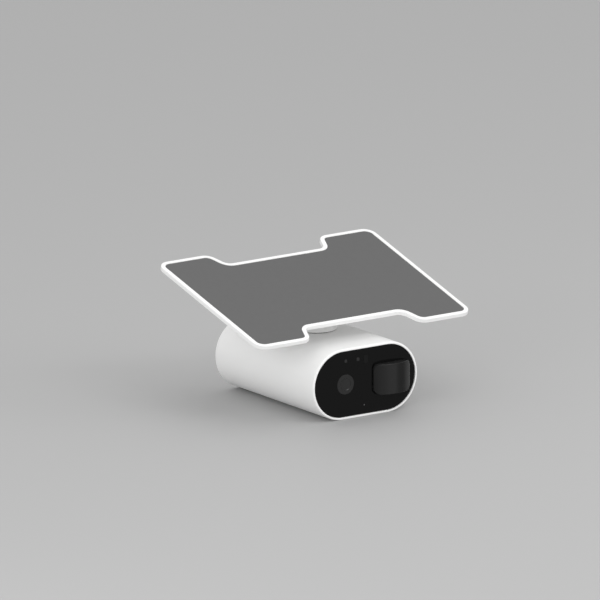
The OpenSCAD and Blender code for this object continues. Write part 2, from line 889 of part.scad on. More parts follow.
main_housing();
front_plate();
front_gasket();
lens_window();
status_window();
light_sensor_window();
ir_window();
pir_lens();
front_board();
front_board_screws();
pir_sensor();
status_led();
light_sensor();
ir_led();
microphone();
mic_boot();
lens_barrel();
front_element();
rear_element();
lens_holder();
filter_slider();
ir_cut_glass();
clear_glass();
filter_motor();
image_sensor();
sensor_board();
main_board();
board_shield();
wifi_antenna();
board_screws();
battery_tray();
battery_cells();
battery_contacts();
lead_socket();
tripod_insert();
rear_cover();
rear_gasket();
rear_screws();
rear_board();
speaker();
usb_port();
card_slot();
button_switch();
sync_button();
port_flap();
flap_pin();
turret_seal();
turret();
turret_nut();
wave_washer();
pivot_pins();
pivot_washers();
post_lead();
panel_bracket();
bracket_screws();
panel_frame();
panel_board();
solar_cells();
panel_cover();
panel_lead();
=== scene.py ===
"""Looks of a solar-powered security camera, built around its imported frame.

Lengths are in metres. The origin is the tripod thread under the casing, the lens looks along -Y
and +Z is up. The panel's pieces are worked out flat, about the tilt axis, and then turned.
"""

import json
import math

import bmesh
import bpy
import numpy as np
from bpy.props import FloatProperty, FloatVectorProperty, IntProperty, PointerProperty
from mathutils import Matrix, Vector
from mathutils.geometry import tessellate_polygon

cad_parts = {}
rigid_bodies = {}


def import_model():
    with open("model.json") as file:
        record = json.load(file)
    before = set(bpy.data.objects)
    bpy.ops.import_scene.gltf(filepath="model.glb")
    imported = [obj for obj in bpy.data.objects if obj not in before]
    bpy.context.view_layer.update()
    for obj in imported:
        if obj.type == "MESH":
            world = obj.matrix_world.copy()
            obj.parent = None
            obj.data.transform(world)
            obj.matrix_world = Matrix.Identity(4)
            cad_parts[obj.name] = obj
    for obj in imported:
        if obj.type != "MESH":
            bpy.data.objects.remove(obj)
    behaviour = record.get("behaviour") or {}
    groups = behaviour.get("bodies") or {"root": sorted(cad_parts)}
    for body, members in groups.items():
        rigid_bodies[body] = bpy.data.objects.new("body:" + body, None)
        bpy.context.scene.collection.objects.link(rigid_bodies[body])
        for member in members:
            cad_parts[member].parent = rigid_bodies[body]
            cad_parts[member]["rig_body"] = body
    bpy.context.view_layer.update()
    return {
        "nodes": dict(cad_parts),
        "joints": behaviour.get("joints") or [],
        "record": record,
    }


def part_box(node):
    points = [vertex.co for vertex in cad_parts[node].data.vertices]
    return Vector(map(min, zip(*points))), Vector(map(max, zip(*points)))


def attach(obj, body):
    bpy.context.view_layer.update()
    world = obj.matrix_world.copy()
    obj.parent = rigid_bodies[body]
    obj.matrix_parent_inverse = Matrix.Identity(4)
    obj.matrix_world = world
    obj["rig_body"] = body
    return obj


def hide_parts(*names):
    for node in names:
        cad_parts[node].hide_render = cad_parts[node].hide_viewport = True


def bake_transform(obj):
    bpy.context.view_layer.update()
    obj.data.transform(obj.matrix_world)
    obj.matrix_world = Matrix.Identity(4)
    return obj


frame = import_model()

bl_info = {
    "name": "Solar camera maker",
    "version": (1, 0, 0),
    "blender": (4, 5, 0),
    "location": "View3D > Sidebar > Camera",
    "description": "Builds a solar-powered security camera around its frame",
    "category": "Add Mesh",
}

MM = 0.001
SLOT_OF = {part["node"]: part["material_slot"] for part in frame["record"]["subparts"]}
JOINTS = {joint["name"]: joint for joint in frame["joints"]}
TILT_AXIS = Vector(JOINTS["panel_tilt"]["pos_m"])
HOUSE_LOW, HOUSE_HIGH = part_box("main_housing")
PLATE_LOW, PLATE_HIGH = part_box("front_plate")
HALF_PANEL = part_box("panel_frame")[1].x
CASING_R = (HOUSE_HIGH.z - HOUSE_LOW.z) / 2
CASING_FLAT = HOUSE_HIGH.x - CASING_R
AXIS_Z = (HOUSE_HIGH.z + HOUSE_LOW.z) / 2
FRONT_Y = HOUSE_LOW.y
SEAM_Y = HOUSE_HIGH.y
PLATE_Y = PLATE_LOW.y
PLATE_R = (PLATE_HIGH.z - PLATE_LOW.z) / 2
RUN_INSET = 0.3 * MM  # how far in from its ends a straight run has one more point
DOUBLES = 0.5e-6  # points closer than this are one point
SHARP_ANGLE = math.radians(32)  # edges that turn more than this stay sharp
BEVEL_ANGLE = math.radians(38)  # edges that turn more than this are softened


# ---- sizes and colours that a user may change ------------------------------------------------


def length(name, description, millimetres):
    """A length property, given in millimetres and kept in metres."""
    return FloatProperty(
        name=name, description=description, default=millimetres * MM, unit="LENGTH", precision=5
    )


def angle(name, description, degrees):
    """An angle property, given in degrees and kept in radians."""
    return FloatProperty(
        name=name, description=description, default=math.radians(degrees), subtype="ANGLE"
    )


def power(name, description, watts):
    """A power property."""
    return FloatProperty(name=name, description=description, default=watts, unit="POWER")


def colour(name, description, value):
    """A colour property; one number stands for a grey."""
    return FloatVectorProperty(
        name=name,
        description=description,
        default=value if isinstance(value, tuple) else (value,) * 3,
        subtype="COLOR",
        size=3,
        min=0,
        max=1,
    )


class CasingSizes(bpy.types.PropertyGroup):
    """Sizes of the white casing."""

    wall: length("Wall", "Thickness of the casing's wall", 2.4)
    rim: length("Rim", "Width of the rim round the front plate", 1.7)
    edge: length("Edge radius", "Radius of the front and back edges", 1.0)
    seam: length("Seam radius", "Radius of the edges at the back cover's seam", 0.08)
    pocket: length("Pocket depth", "Depth of the pocket for the plate and its gasket", 3.3)
    ledge: length("Ledge radius", "Radius of the opening behind the pocket", 21.2)
    spindle: length("Spindle bore", "Radius of the turntable's bore", 6.05)
    insert: length("Insert bore", "Radius of the bore for the tripod insert", 5.02)


class FrontSizes(bpy.types.PropertyGroup):
    """Sizes of the plate and the bulged lens of the motion sensor."""

    thickness: length("Plate thickness", "Thickness of the black plate", 2.0)
    edge: length("Plate edge", "Radius of the plate's outer edge", 0.35)
    hole_edge: length("Hole edge", "Radius of the edges of the plate's openings", 0.12)
    sound_hole: length("Sound hole", "Radius of the microphone's hole", 0.6)
    sensor_w: length("Sensor width", "Width of the bulged lens", 30.7)
    sensor_h: length("Sensor height", "Height of the bulged lens", 21.8)
    sensor_corner: length("Sensor corner", "Corner radius of the bulged lens", 4.4)
    sensor_side: length("Side height", "How far the bulged lens stands out at its sides", 1.6)
    sensor_middle: length("Middle height", "How far it stands out in the middle", 6.9)
    sensor_edge: length("Sensor edge", "Radius of the bulged lens's front edge", 0.5)
    sensor_wall: length("Sensor wall", "Wall thickness of the bulged lens", 1.0)


class PanelSizes(bpy.types.PropertyGroup):
    """Sizes of the panel, in its own plane about the tilt axis."""

    tilt: angle("Tilt", "Forward tilt at rest", 15.6)
    rise: length("Rise", "Height of the face above the tilt axis", 14.1)
    setback: length("Setback", "How far the middle lies behind the tilt axis", 5.6)
    half_d: length("Half depth", "Half of the depth across the wide ends", 65.4)
    waist_d: length("Waist depth", "Half of the depth across the waist", 49.1)
    waist_w: length("Waist width", "Half of the straight edge at the waist", 36.9)
    corner: length("Corner radius", "Radius of the outer corners", 8.5)
    tab: length("Tab radius", "Radius of the corners beside the waist", 8.1)
    hollow: length("Hollow radius", "Radius of the hollows where the waist begins", 6.6)
    shoulder: angle("Shoulder", "Slope beside the waist", 70)
    border: length("Border", "Width of the white border", 3.1)
    thickness: length("Thickness", "Thickness of the tray at its edge", 3.1)
    floor: length("Tray floor", "Thickness of the tray's floor", 1.1)
    top_edge: length("Top edge", "Radius of the tray's outer top edge", 0.45)
    low_edge: length("Lower edge", "Radius of the tray's outer lower edge", 0.4)
    pad: length("Pad", "Thickness of the pad over the bracket", 2.2)
    cell_pitch: length("Cell pitch", "Distance from one cell to the next", 17.4)


class Finishes(bpy.types.PropertyGroup):
    """Colours of what shows from outside."""

    white: colour("White plastic", "Casing, tray, turntable and bracket", (0.88, 0.88, 0.875))
    black: colour("Gloss black", "Front plate", 0.0015)
    window: colour("Lens window", "Smoked lens window", 0.018)
    dome: colour("Sensor lens", "Bulged lens of the motion sensor", 0.0155)
    panel: colour("Panel face", "Laminated face of the panel", 0.122)
    rubber: colour("Grey rubber", "Button and flap", 0.6)
    floor: colour("Floor", "Floor under the camera", 0.43)
    backdrop: colour("Backdrop", "What shows past the end of the floor", 0.53)


class StageSettings(bpy.types.PropertyGroup):
    """View and light."""

    azimuth: angle("Azimuth", "Turn of the view", -35)
    elevation: angle("Elevation", "Height of the view", 14)
    frame_width: length("Frame width", "Width of what the view takes in", 420)
    aside: length("Aside", "How far the plate's middle lies right of the view's middle", 45.4)
    below: length("Below", "How far the plate's middle lies below the view's middle", 56.6)
    lens: FloatProperty(name="Lens", description="Focal length in millimetres", default=1600)
    ambient: FloatProperty(name="Ambient", description="Strength of the light all round", default=0.95)
    key_power: power("Key", "Power of the overhead light", 2)
    front_power: power("Front", "Power of the front light", 3)
    side_power: power("Sides", "Power of each side light", 3.8)


class CameraMaker(bpy.types.PropertyGroup):
    """All settings of the maker."""

    casing: PointerProperty(type=CasingSizes)
    front: PointerProperty(type=FrontSizes)
    panel: PointerProperty(type=PanelSizes)
    finishes: PointerProperty(type=Finishes)
    stage: PointerProperty(type=StageSettings)
    arc_steps: IntProperty(name="Arc steps", description="Steps in a half circle", default=64, min=16)


# ---- outlines and profiles -------------------------------------------------------------------


def stadium_ring(radius, y, steps):
    """Round-ended outline: half circles of the radius about (+-CASING_FLAT, AXIS_Z), joined by
    straight runs whose ends have one more point each, a little way in."""
    turn = np.linspace(-math.pi / 2, math.pi / 2, steps + 1)
    x = CASING_FLAT + radius * np.cos(turn)
    z = radius * np.sin(turn)
    inset = CASING_FLAT - RUN_INSET
    xs = np.concatenate([x, [inset, -inset], -x[::-1], [-inset, inset]])
    zs = np.concatenate([z, [radius, radius], z[::-1], [-radius, -radius]])
    return np.stack([xs, np.full(len(xs), y), AXIS_Z + zs], axis=1)


def circle_ring(centre, radius, axis, steps):
    """Circle about an axis, Y or Z: centre + radius * (cos t, sin t) along the other two."""
    turn = np.arange(steps) * 2 * math.pi / steps
    ring = np.tile(np.asarray(centre, float), (steps, 1))
    first, second = {"Y": (0, 2), "Z": (0, 1)}[axis]
    ring[:, first] += radius * np.cos(turn)
    ring[:, second] += radius * np.sin(turn)
    return ring


def oblong_ring(centre, width, height, radius, steps=8, run=1):
    """Round-cornered oblong in x and z at the centre's depth: four quarter circles of the radius
    about the corners of the smaller oblong (width - 2 radius) by (height - 2 radius). The level
    sides between them are cut in run equal steps."""
    quarter = np.linspace(0, math.pi / 2, steps + 1)
    turns = np.arange(4)[:, None] * math.pi / 2
    reach_x = width / 2 - radius
    side_x = np.array([1, -1, -1, 1])[:, None] * reach_x
    side_z = np.array([1, 1, -1, -1])[:, None] * (height / 2 - radius)
    x = side_x + radius * np.cos(turns + quarter)
    z = side_z + radius * np.sin(turns + quarter)
    level = reach_x * np.linspace(1, -1, run + 1)[1:-1]
    edge = np.full(len(level), height / 2)
    xs = np.concatenate([x[0], level, x[1], x[2], -level, x[3]]) + centre[0]
    zs = np.concatenate([z[0], edge, z[1], z[2], -edge, z[3]]) + centre[2]
    return np.stack([xs, np.full(len(xs), centre[1]), zs], axis=1)


def panel_ring(sizes, half_w, inward, height, steps=10):
    """The panel's outline moved inwards: in one quarter a hollow arc, a straight shoulder, a
    convex arc and a corner arc, all about fixed centres, then mirrored to the other quarters."""
    slope = sizes.shoulder
    both = sizes.tab + sizes.hollow
    drop = sizes.half_d - sizes.waist_d - both * (1 - math.cos(slope))
    shoulder_x = sizes.waist_w + both * math.sin(slope) + drop / math.tan(slope)
    turn = np.linspace(0, 1, steps + 1)

    def arc(x, y, radius, start, end):
        """Arc about (x, y) from the angle start to the angle end."""
        angles = start + (end - start) * turn
        return np.stack([x + radius * np.cos(angles), y + radius * np.sin(angles)], axis=1)

    right = math.pi / 2
    quarter = np.concatenate([
        arc(sizes.waist_w, sizes.waist_d + sizes.hollow, sizes.hollow + inward, -right, slope - right),
        arc(shoulder_x, sizes.half_d - sizes.tab, sizes.tab - inward, right + slope, right),
        arc(half_w - sizes.corner, sizes.half_d - sizes.corner, sizes.corner - inward, right, 0),
    ])
    flat = np.concatenate([
        quarter,
        quarter[::-1] * [1, -1],
        quarter * [-1, -1],
        quarter[::-1] * [-1, 1],
    ])
    flat[:, 1] += sizes.setback
    return np.column_stack([flat, np.full(len(flat), height)])


def rounded_profile(corners, radii, steps=5, support=0.12 * MM):
    """Open polyline with its corners rounded: a corner of turn a becomes an arc of its radius that
    starts radius * tan(a / 2) before it, with one more point just outside each end of the arc. A
    radius of 0 leaves the corner, and both ends have it."""
    corners = np.asarray(corners, float)
    points = []
    for index, (here, radius) in enumerate(zip(corners, radii)):
        if radius == 0:
            points.append(here)
            continue
        into = here - corners[index - 1]
        out = corners[index + 1] - here
        into /= np.linalg.norm(into)
        out /= np.linalg.norm(out)
        turn = math.acos(float(np.clip(into @ out, -1, 1)))
        reach = radius * math.tan(turn / 2)
        across = (out - into) / np.linalg.norm(out - into)
        centre = here + across * radius / math.cos(turn / 2)
        side = (here - into * reach - centre) / radius
        share = np.linspace(0, turn, steps + 1)[:, None]
        bend = centre + radius * (side * np.cos(share) + into * np.sin(share))
        points += [here - into * (reach + support), *bend, here + out * (reach + support)]
    return np.array(points)


def swept(profile, ring):
    """Rings of a profile [reach, height]: ring(reach, height) gives the outline of each point."""
    return np.stack([ring(reach, height) for reach, height in profile])


class Skin:
    """Points and faces of one closed piece."""

    def __init__(self):
        self.points = []
        self.faces = []
        self.size = 0

    def add(self, points):
        """Keeps more points and returns the number of the first."""
        start = self.size
        points = np.asarray(points, float).reshape(-1, 3)
        self.points.append(points)
        self.size += len(points)
        return start

    def strip(self, rings, skip=()):
        """Four-sided faces between each ring and the next, without the columns in skip."""
        count, steps = rings.shape[:2]
        start = self.add(rings)
        rows = np.arange(count - 1)[:, None] * steps
        cols = np.setdiff1d(np.arange(steps), skip)[None, :]
        after = (cols + 1) % steps
        quads = np.stack([rows + cols, rows + after, rows + steps + after, rows + steps + cols], axis=-1)
        self.faces += (start + quads.reshape(-1, 4)).tolist()

    def flat(self, outline, holes=()):
        """Flat face inside an outline and outside its holes."""
        loops = [np.asarray(loop) for loop in (outline, *holes)]
        start = self.add(np.concatenate(loops))
        triangles = tessellate_polygon([[Vector(point / MM) for point in loop] for loop in loops])
        self.faces += [[start + corner for corner in triangle] for triangle in triangles]

    def tube(self, rings):
        """A strip closed by a flat face over its first ring and one over its last."""
        self.strip(rings)
        self.flat(rings[0])
        self.flat(rings[-1])

    def ladder(self, ring):
        """Four-sided faces across a ring whose second half mirrors its first half."""
        half = len(ring) // 2
        start = self.add(ring)
        one = np.arange(half - 1)
        other = 2 * half - 1 - one
        quads = np.stack([one, one + 1, other - 1, other], axis=-1)
        self.faces += (start + quads).tolist()

    def make(self, name, body, nodes, material, place=None):
        """Makes the piece and finishes it, after turning its points by the place if one is given."""
        mesh = bpy.data.meshes.new(name)
        points = np.concatenate(self.points)
        if place is not None:
            points = points @ np.array(place.to_3x3()).T + np.array(place.translation)
        mesh.from_pydata(points.tolist(), [], self.faces)
        return finish_piece(mesh, name, body, nodes, material)


def finish_piece(mesh, name, body, nodes, material):
    """Merges doubles, turns the faces outwards, smooths all but sharp edges and hands the piece
    to its body and the nodes that it stands for. A piece given no body is left without one,
    and one that stands for no node hides none."""
    cleaned = bmesh.new()
    cleaned.from_mesh(mesh)
    bmesh.ops.remove_doubles(cleaned, verts=cleaned.verts, dist=DOUBLES)
    bmesh.ops.dissolve_degenerate(cleaned, edges=cleaned.edges, dist=0.2e-6)
    bmesh.ops.recalc_face_normals(cleaned, faces=cleaned.faces)
    cleaned.to_mesh(mesh)
    cleaned.free()
    mesh.shade_smooth()
    mesh.set_sharp_from_angle(angle=SHARP_ANGLE)
    mesh.materials.clear()
    mesh.materials.append(material)
    piece = bpy.data.objects.new(name, mesh)
    bpy.context.scene.collection.objects.link(piece)
    if body:
        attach(piece, body)
    if nodes:
        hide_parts(*nodes)
    return piece


def softened(node, material, width):
    """Stands for a node with a merged copy of it, its flats in one face each and its sharp edges
    bevelled by the width."""
    original = frame["nodes"][node]
    mesh = original.data.copy()
    merged = bmesh.new()
    merged.from_mesh(mesh)
    bmesh.ops.remove_doubles(merged, verts=merged.verts, dist=DOUBLES)
    flat_angle = math.radians(0.5)
    bmesh.ops.dissolve_limit(merged, angle_limit=flat_angle, verts=merged.verts, edges=merged.edges)
    merged.to_mesh(mesh)
    merged.free()
    piece = finish_piece(mesh, node + "_finished", original["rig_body"], [node], material)
    bevel = piece.modifiers.new("soft edges", "BEVEL")
    bevel.width = width
    bevel.segments = 3
    bevel.limit_method = "ANGLE"
    bevel.angle_limit = BEVEL_ANGLE
    bevel.harden_normals = True


def tilt_place(sizes):
    """Matrix that turns what is worked out about the tilt axis to the panel's resting tilt."""
    return Matrix.Translation(TILT_AXIS) @ Matrix.Rotation(sizes.tilt, 4, "X")


# ---- materials -------------------------------------------------------------------------------

# Brightness of the studio round the horizon: degrees from straight ahead towards +X, and a grey
SOFT_BOXES = (
    (-90, 0.2), (-45, 0.1), (-12, 0.3), (12, 0.5), (28, 0.5), (48, 0.12), (62, 0.1), (85, 0.35), (120, 0.3)
)
BEHIND_GREY = 0.3  # brightness straight behind the camera
OVERHEAD_GAIN = 1.8  # how much brighter the soft boxes are above the horizon
HAZE = 0.2  # sine of the height over which they brighten


class Nodes:
    """Short ways to build one node tree."""

    def __init__(self, tree):
        self.tree = tree

    def node(self, kind, **settings):
        """Adds a node with its settings."""
        made = self.tree.nodes.new(kind)
        for key, value in settings.items():
            setattr(made, key, value)
        return made

    def feed(self, socket, value):
        """Links an output to a socket, or sets the socket to a colour or a number."""
        if isinstance(value, bpy.types.NodeSocket):
            self.tree.links.new(value, socket)
        elif isinstance(value, tuple):
            socket.default_value = (*value, 1)
        else:
            socket.default_value = value

    def math(self, operation, *values):
        """One sum of one or two values, each an output or a number."""
        made = self.node("ShaderNodeMath", operation=operation)
        for socket, value in zip(made.inputs, values):
            self.feed(socket, value)
        return made.outputs[0]

    def span(self, value, low, high, start=0.0, end=1.0):
        """Spreads a value from start..end to low..high."""
        made = self.node("ShaderNodeMapRange")
        limits = {"From Min": start, "From Max": end, "To Min": low, "To Max": high}
        for socket, limit in limits.items():
            made.inputs[socket].default_value = limit
        self.feed(made.inputs["Value"], value)
        return made.outputs["Result"]

    def split(self, vector):
        """The x, y and z of a vector."""
        made = self.node("ShaderNodeSeparateXYZ")
        self.feed(made.inputs["Vector"], vector)
        return tuple(made.outputs)

    def mix(self, factor, first, second):
        """A colour that goes from the first to the second by the factor."""
        made = self.node("ShaderNodeMix", data_type="RGBA")
        ends = {socket.name: socket for socket in made.inputs if socket.type == "RGBA"}
        self.feed(ends["A"], first)
        self.feed(ends["B"], second)
        self.feed(made.inputs["Factor"], factor)
        return next(output for output in made.outputs if output.type == "RGBA")


class Finish(Nodes):
    """A material under construction, whose patterns read the object's own coordinates."""

    def __init__(self, name, base, roughness, **sockets):
        self.material = bpy.data.materials.new(name)
        self.material.use_nodes = True
        super().__init__(self.material.node_tree)
        self.shader = self.tree.nodes["Principled BSDF"]
        self.shader.inputs["Base Color"].default_value = (*base, 1)
        self.shader.inputs["Roughness"].default_value = roughness
        for socket, value in sockets.items():
            self.shader.inputs[socket.replace("_", " ")].default_value = value
        self.place = self.node("ShaderNodeTexCoord").outputs["Object"]

    def mapped(self, socket, value):
        """The coordinates after a Mapping node with one socket set."""
        made = self.node("ShaderNodeMapping")
        made.inputs[socket].default_value = value
        self.feed(made.inputs["Vector"], self.place)
        return made.outputs["Vector"]

    def noise(self, scale, detail=3, roughness=0.55):
        """Noise with features about 1 / scale metres across."""
        made = self.node("ShaderNodeTexNoise")
        made.inputs["Scale"].default_value = scale
        made.inputs["Detail"].default_value = detail
        made.inputs["Roughness"].default_value = roughness
        self.feed(made.inputs["Vector"], self.place)
        return made.outputs["Fac"]

    def tint(self, factor, first, second):
        """Colours the surface from the first colour to the second by the factor."""
        self.feed(self.shader.inputs["Base Color"], self.mix(factor, first, second))

    def rough(self, value, low, high):
        """Spreads a value from 0..1 over the roughness from low to high."""
        self.feed(self.shader.inputs["Roughness"], self.span(value, low, high))

    def bump(self, height, distance, strength=1.0):
        """Raises the surface by height times distance, in metres."""
        made = self.node("ShaderNodeBump")
        made.inputs["Distance"].default_value = distance
        made.inputs["Strength"].default_value = strength
        self.feed(made.inputs["Height"], height)
        self.feed(self.shader.inputs["Normal"], made.outputs["Normal"])


def shade(value, factor):
    """A colour made lighter or darker."""
    return tuple(min(1.0, channel * factor) for channel in value[:3])


def moulded(name, base, roughness, grain=2600, depth=0.012, **sockets):
    """Moulded plastic or rubber: a fine spark-eroded grain, with slight changes of tone and gloss."""
    variation = 0.015
    made = Finish(name, base, roughness, **sockets)
    made.tint(made.noise(scale=28, detail=2), shade(base, 1 - variation), shade(base, 1 + variation))
    made.rough(made.noise(scale=160, detail=4), roughness - 0.06, roughness + 0.06)
    made.bump(made.noise(scale=grain, detail=2, roughness=0.7), depth * MM)
    return made.material


def polished(name, base, roughness=0.06, **sockets):
    """Polished plastic or glass: long shallow waves of the mould and faint wiping marks."""
    made = Finish(name, base, roughness, **sockets)
    made.rough(made.noise(scale=90, detail=5, roughness=0.7), roughness * 0.7, roughness * 1.5)
    made.bump(made.noise(scale=45, detail=1), 0.004 * MM, strength=0.3)
    return made.material


def metal(name, base, roughness, stretch=(1, 30, 1)):
    """Bare metal with drawn lines across the direction that is stretched."""
    made = Finish(name, base, roughness, Metallic=1.0)
    made.place = made.mapped("Scale", stretch)
    lines = made.noise(scale=900, detail=4, roughness=0.7)
    made.rough(lines, roughness - 0.1, roughness + 0.12)
    made.bump(lines, 0.004 * MM)
    return made.material


def circuit(name, base):
    """Solder mask over copper tracks: the edges of a coarse cell pattern, slightly raised."""
    made = Finish(name, base, 0.35)
    cells = made.node("ShaderNodeTexVoronoi", feature="DISTANCE_TO_EDGE", distance="EUCLIDEAN")
    cells.inputs["Scale"].default_value = 420
    cells.inputs["Randomness"].default_value = 0.25
    made.feed(cells.inputs["Vector"], made.place)
    track = made.math("LESS_THAN", cells.outputs["Distance"], 0.09)
    made.tint(track, base, shade(base, 1.9))
    made.bump(track, 0.03 * MM, strength=0.5)
    return made.material


def laminate(name, base, sizes):
    """Laminated panel face: a fine embossed grain, and cell seams that barely show through. A seam
    is where x over the cell pitch is nearly a whole number."""
    half_seam = 0.026
    made = Finish(name, base, 0.62, Specular_IOR_Level=0.25)
    x, _, _ = made.split(made.mapped("Rotation", (-sizes.tilt, 0, 0)))
    share = made.math("FRACT", made.math("DIVIDE", x, sizes.cell_pitch))
    distance = made.math("ABSOLUTE", made.math("SUBTRACT", share, 0.5))
    seam = made.math("GREATER_THAN", distance, 0.5 - half_seam)
    cloud = made.span(made.noise(scale=14, detail=2), 0, 0.6)
    made.tint(made.math("MAXIMUM", seam, cloud), base, shade(base, 0.975))
    made.rough(made.noise(scale=220, detail=3), 0.56, 0.68)
    made.bump(made.noise(scale=1900, detail=1, roughness=0.4), 0.02 * MM)
    return made.material


def fresnel_dome(name, base):
    """Satin polyethylene, with the faint upright flutes of its segments: a sine of x."""
    flute = 0.9 * MM
    made = Finish(name, base, 0.2, Specular_IOR_Level=0.35)
    x, _, _ = made.split(made.place)
    made.rough(made.noise(scale=130, detail=3), 0.13, 0.19)
    made.bump(made.math("SINE", made.math("MULTIPLY", x, 2 * math.pi / flute)), 0.0015 * MM, strength=0.5)
    return made.material


def glass(name, base):
    """Clear or coated optical glass."""
    made = Finish(name, base, 0.02, Transmission_Weight=1.0, IOR=1.52)
    made.rough(made.noise(scale=60, detail=3), 0.01, 0.04)
    return made.material


def soft_room(strength, backdrop):
    """Even light all round, in which gloss sees broad soft boxes, brighter above the horizon, and
    the view sees the plain backdrop past the floor's end."""
    world = bpy.data.worlds.new("soft room")
    world.use_nodes = True
    room = Nodes(world.node_tree)
    light = room.tree.nodes["Background"]
    light.inputs["Strength"].default_value = strength
    x, y, z = room.split(room.node("ShaderNodeTexCoord").outputs["Generated"])
    turn = room.math("ARCTAN2", x, room.math("MULTIPLY", y, -1))
    ramp = room.node("ShaderNodeValToRGB")
    ramp.color_ramp.interpolation = "EASE"
    stops = ramp.color_ramp.elements
    stops.remove(stops[1])
    stops[0].position = 0
    stops[0].color = (*[BEHIND_GREY] * 3, 1)
    for degrees, grey in SOFT_BOXES:
        stop = stops.new((degrees + 180) / 360)
        stop.color = (grey, grey, grey, 1)
    room.feed(ramp.inputs["Fac"], room.span(turn, 0, 1, -math.pi, math.pi))
    boxes = room.node("ShaderNodeVectorMath", operation="SCALE")
    room.feed(boxes.inputs[0], ramp.outputs["Color"])
    room.feed(boxes.inputs["Scale"], room.span(z, 1, OVERHEAD_GAIN, 0, HAZE))
    rays = room.node("ShaderNodeLightPath")
    gloss = room.mix(rays.outputs["Is Glossy Ray"], (1.0, 1.0, 1.0), boxes.outputs[0])
    seen = tuple(channel / strength for channel in backdrop)
    room.feed(light.inputs["Color"], room.mix(rays.outputs["Is Camera Ray"], gloss, seen))
    return world


def make_finishes(colours, panel):
    """Every slot's material, by the name of the slot, and two more for the pane and the gauze."""
    black = tuple(colours.black)
    window = tuple(colours.window)
    return {
        "white_casing": moulded("white moulded plastic", tuple(colours.white), 0.42),
        "gloss_black": polished("gloss black plate", black, 0.05, Specular_IOR_Level=0.26),
        "window_glass": polished("smoked window", window, 0.08, Specular_IOR_Level=0.4),
        "light_pipe": polished("clear light pipe", (0.017, 0.017, 0.017), 0.2),
        "sensor_dome": fresnel_dome("satin sensor lens", tuple(colours.dome)),
        "panel_face": laminate("panel laminate", tuple(colours.panel), panel),
        "black_rubber": moulded("black silicone", (0.02, 0.02, 0.02), 0.7, grain=1800, depth=0.01),
        "grey_rubber": moulded("light grey silicone", tuple(colours.rubber), 0.55, grain=1800),
        "circuit_board": circuit("green circuit board", (0.012, 0.1, 0.04)),
        "steel": metal("plated steel", (0.56, 0.56, 0.55), 0.3),
        "black_plastic": moulded("black moulded plastic", (0.02, 0.02, 0.02), 0.5),
        "led_resin": polished("moulded resin", (0.75, 0.72, 0.5), 0.2, Transmission_Weight=0.3),
        "optical_glass": glass("coated lens glass", (0.88, 0.93, 1.0)),
        "filter_glass": glass("infrared-cut glass", (0.45, 0.85, 0.8)),
        "copper": metal("bare copper", (0.78, 0.42, 0.25), 0.28),
        "sensor_chip": polished("image sensor", (0.06, 0.07, 0.12), 0.1),
        "silicon": polished("dark silicon", (0.015, 0.02, 0.045), 0.2),
        "cell_wrap": polished("cell wrap", (0.08, 0.42, 0.27), 0.25),
        "connector": moulded("nylon", (0.82, 0.78, 0.65), 0.5),
        "brass_insert": metal("turned brass", (0.72, 0.52, 0.22), 0.25, (1, 1, 30)),
        "lead_jacket": moulded("lead jacket", (0.012, 0.012, 0.012), 0.55),
        "infrared_pane": polished("infrared pane", (0.0035, 0.0035, 0.0035), 0.1, Specular_IOR_Level=0.3),
        "steel_gauze": moulded("fine steel gauze", (0.09, 0.09, 0.09), 0.5, grain=3200, depth=0.02),
    }


def finish_of(context, node=None, slot=None):
    """The material of a node's slot, or of the named slot. All are made on first use."""
    names = context.scene.get("camera_finishes")
    if names is None:
        maker = context.scene.camera_maker
        finishes = make_finishes(maker.finishes, maker.panel)
        context.scene["camera_finishes"] = {key: item.name for key, item in finishes.items()}
        names = context.scene["camera_finishes"]
    return bpy.data.materials[names[slot or SLOT_OF[node]]]


# ---- operators -------------------------------------------------------------------------------

LIP = 1 * MM  # width of the flat face round an edge or a bore
SHELF = 2 * MM  # depth of the ledge behind the front pocket
POCKET_EDGE = 0.25 * MM
BORE_EDGE = 0.2 * MM
WINDOW_GAP = 0.05 * MM  # gap all round a small window
SENSOR_GAP = 0.25 * MM  # gap all round the bulged lens
FLANGE = 1.3 * MM  # how far the bulged lens's flange reaches behind the plate
PAD_W, PAD_D, PAD_CORNER = 60 * MM, 44 * MM, 5 * MM
FACE_DROP = 0.3 * MM  # how far the grey face lies below the white border
FACE_THICKNESS = 0.6 * MM
FACE_GAP = 0.1 * MM
BEND_REACH = 5 * MM  # length of the lead that bends, on each side of the tilt axis


def round_place(node):
    """Middle of a round node's box and its radius in x."""
    low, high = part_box(node)
    return (low + high) / 2, (high.x - low.x) / 2


def turned(profile, centre, steps):
    """Rings of a profile [radius, depth], turned about the line along Y through the centre."""
    return swept(profile, lambda radius, y: circle_ring((centre.x, y, centre.z), radius, "Y", steps))


def oblong_opening(profile, centre, width, height, corner, steps=8):
    """Rings of a profile [reach, depth] round an oblong: the oblong grown by the reach."""
    return swept(profile, lambda reach, y: oblong_ring(
        (centre.x, y, centre.z), width + 2 * reach, height + 2 * reach, corner + reach, steps))


